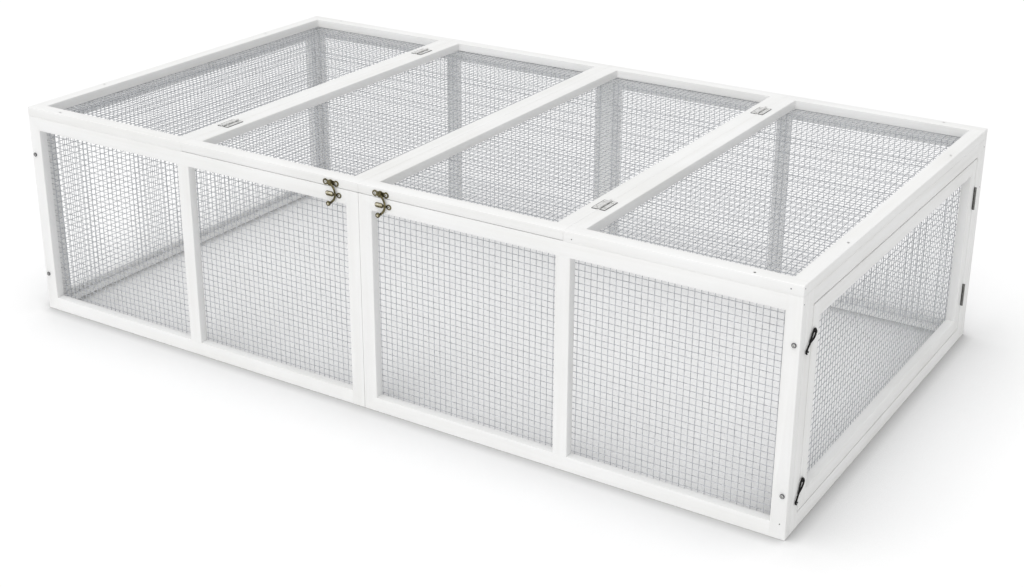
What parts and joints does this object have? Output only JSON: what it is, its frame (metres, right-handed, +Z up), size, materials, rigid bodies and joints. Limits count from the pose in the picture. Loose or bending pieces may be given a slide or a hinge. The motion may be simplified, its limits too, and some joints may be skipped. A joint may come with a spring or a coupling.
{
  "type": "rabbit run",
  "caption": "Low white timber rabbit run with wire mesh sides and top, lids that hinge open over the middle and a mesh door in one end.",
  "frame": {"origin": "on the ground at the middle of the footprint", "axes": "+X along the run towards the end door, +Y from the latched front to the back, +Z up"},
  "size_m": [1.8207, 1.0132, 0.4851],
  "materials": {
    "painted_timber": "satin white paint over softwood",
    "wire_mesh": "galvanised welded wire",
    "dowel_wood": "plain beech",
    "hinge_steel": "zinc plated",
    "dark_steel": "dull dark plating",
    "black_steel": "satin black",
    "latch_brass": "antique brass plating",
    "insert_brass": "turned brass",
    "bolt_steel": "dark steel",
    "screw_steel": "zinc plated"
  },
  "bodies": {
    "run_frame": {"front_left_rails": "painted_timber", "front_left_stiles": "painted_timber", "front_right_rails": "painted_timber", "front_right_stiles": "painted_timber", "back_left_rails": "painted_timber", "back_left_stiles": "painted_timber", "back_right_rails": "painted_timber", "back_right_stiles": "painted_timber", "left_end_rails": "painted_timber", "left_end_posts": "painted_timber", "right_end_rails": "painted_timber", "right_end_posts": "painted_timber", "top_left_rails": "painted_timber", "top_left_stiles": "painted_timber", "top_right_rails": "painted_timber", "top_right_stiles": "painted_timber", "front_left_mesh": "wire_mesh", "front_right_mesh": "wire_mesh", "back_left_mesh": "wire_mesh", "back_right_mesh": "wire_mesh", "left_end_mesh": "wire_mesh", "top_left_mesh": "wire_mesh", "top_right_mesh": "wire_mesh", "frame_dowels": "dowel_wood", "left_lid_hinge_fixed_leaves": "hinge_steel", "right_lid_hinge_fixed_leaves": "hinge_steel", "door_hinge_fixed_leaves": "dark_steel", "hinge_pins": "hinge_steel", "left_latch_keeper": "latch_brass", "right_latch_keeper": "latch_brass", "hook_rest_pins": "black_steel", "frame_screws": "screw_steel", "corner_bolts": "bolt_steel", "corner_inserts": "insert_brass", "top_nails": "bolt_steel"},
    "left_lid": {"left_lid_rails": "painted_timber", "left_lid_stiles": "painted_timber", "left_lid_mesh": "wire_mesh", "left_lid_dowels": "dowel_wood", "left_lid_hinge_moving_leaves": "hinge_steel", "left_lid_screws": "screw_steel", "left_latch_plate": "latch_brass"},
    "right_lid": {"right_lid_rails": "painted_timber", "right_lid_stiles": "painted_timber", "right_lid_mesh": "wire_mesh", "right_lid_dowels": "dowel_wood", "right_lid_hinge_moving_leaves": "hinge_steel", "right_lid_screws": "screw_steel", "right_latch_plate": "latch_brass"},
    "end_door": {"end_door_rails": "painted_timber", "end_door_stiles": "painted_timber", "end_door_mesh": "wire_mesh", "end_door_dowels": "dowel_wood", "door_hinge_moving_leaves": "dark_steel", "end_door_screws": "screw_steel", "hook_pivot_screws": "screw_steel"},
    "left_latch_arm": {"left_latch_arm": "latch_brass"},
    "right_latch_arm": {"right_latch_arm": "latch_brass"},
    "upper_door_hook": {"upper_door_hook": "black_steel"},
    "lower_door_hook": {"lower_door_hook": "black_steel"}
  },
  "joints": [
    {"name": "left_lid_hinge", "type": "hinge", "parent": "run_frame", "child": "left_lid", "pos_m": [-0.45375, 0, 0.4826], "axis": [0, -1, 0], "range_deg": [0, 180]},
    {"name": "right_lid_hinge", "type": "hinge", "parent": "run_frame", "child": "right_lid", "pos_m": [0.45375, 0, 0.4826], "axis": [0, 1, 0], "range_deg": [0, 180]},
    {"name": "end_door_hinge", "type": "hinge", "parent": "run_frame", "child": "end_door", "pos_m": [0.9101, 0.4485, 0.23], "axis": [0, 0, 1], "range_deg": [0, 180]},
    {"name": "left_latch_pivot", "type": "hinge", "parent": "left_lid", "child": "left_latch_arm", "pos_m": [-0.065, -0.5047, 0.4685], "axis": [0, -1, 0], "range_deg": [0, 150]},
    {"name": "right_latch_pivot", "type": "hinge", "parent": "right_lid", "child": "right_latch_arm", "pos_m": [0.054, -0.5047, 0.4685], "axis": [0, -1, 0], "range_deg": [0, 150]},
    {"name": "upper_hook_pivot", "type": "hinge", "parent": "end_door", "child": "upper_door_hook", "pos_m": [0.9101, -0.443, 0.378], "axis": [-1, 0, 0], "range_deg": [0, 150]},
    {"name": "lower_hook_pivot", "type": "hinge", "parent": "end_door", "child": "lower_door_hook", "pos_m": [0.9101, -0.443, 0.092], "axis": [-1, 0, 0], "range_deg": [0, 150]}
  ]
}
